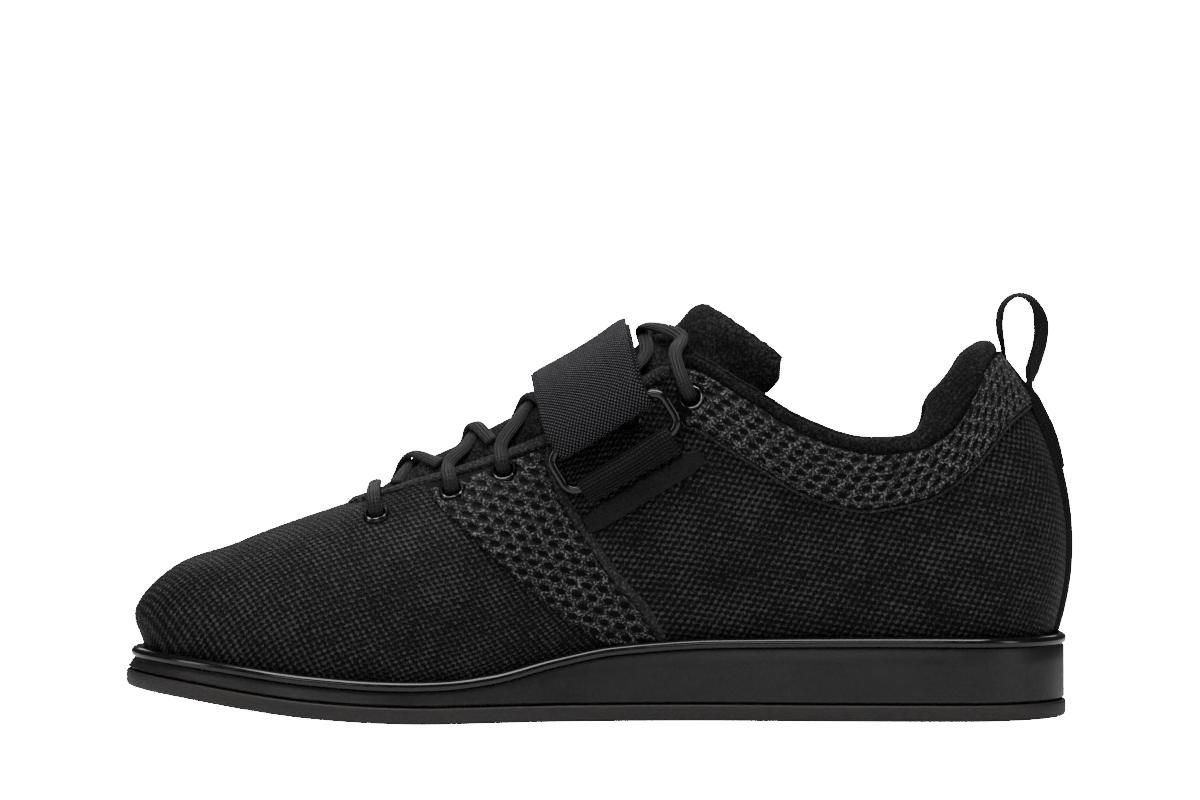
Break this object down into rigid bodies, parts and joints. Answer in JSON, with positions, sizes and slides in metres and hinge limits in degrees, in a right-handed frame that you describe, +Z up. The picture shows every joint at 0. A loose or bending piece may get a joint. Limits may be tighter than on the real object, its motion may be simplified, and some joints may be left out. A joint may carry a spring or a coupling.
{
  "type": "weightlifting shoe",
  "caption": "Right low-cut weightlifting shoe with a raised firm heel, lacing, and one instep strap that turns round a ring on the inner side and fastens on the outer side.",
  "frame": {"origin": "on the floor, below the middle of the shoe's box", "axes": "+X to the heel, -X to the toe, -Y to the inner (medial) side with the ring, +Z up"},
  "size_m": [0.2904, 0.1042, 0.1294],
  "materials": {
    "outsole": "matt black rubber with a fine moulded grain",
    "midsole": "satin black moulded wedge",
    "welt": "glossy black rim",
    "insole": "black textile over foam",
    "upper": "black knitted mesh with lighter open-mesh panels",
    "collar_lining": "soft black padded knit",
    "tongue": "soft black padded knit",
    "strap": "black ribbed webbing",
    "ring": "glossy black",
    "ring_keeper": "black ribbed webbing",
    "keeper_patch": "smooth black strip",
    "pull_loop": "black webbing",
    "lace": "black flat oval lace",
    "eyelet": "black metal with a worn bright inner rim"
  },
  "bodies": {
    "root": {"outsole": "outsole", "midsole": "midsole", "welt": "welt", "insole": "insole", "upper": "upper", "collar_lining": "collar_lining", "tongue": "tongue", "strap": "strap", "ring": "ring", "ring_keeper": "ring_keeper", "keeper_patch": "keeper_patch", "pull_loop": "pull_loop", "lace_bar": "lace", "lace_cross_1": "lace", "lace_cross_2": "lace", "lace_cross_3": "lace", "lace_cross_4": "lace", "lace_cross_5": "lace", "eyelet_in_1": "eyelet", "eyelet_in_2": "eyelet", "eyelet_in_3": "eyelet", "eyelet_in_4": "eyelet", "eyelet_in_5": "eyelet", "eyelet_in_6": "eyelet", "eyelet_out_1": "eyelet", "eyelet_out_2": "eyelet", "eyelet_out_3": "eyelet", "eyelet_out_4": "eyelet", "eyelet_out_5": "eyelet", "eyelet_out_6": "eyelet"}
  },
  "joints": []
}
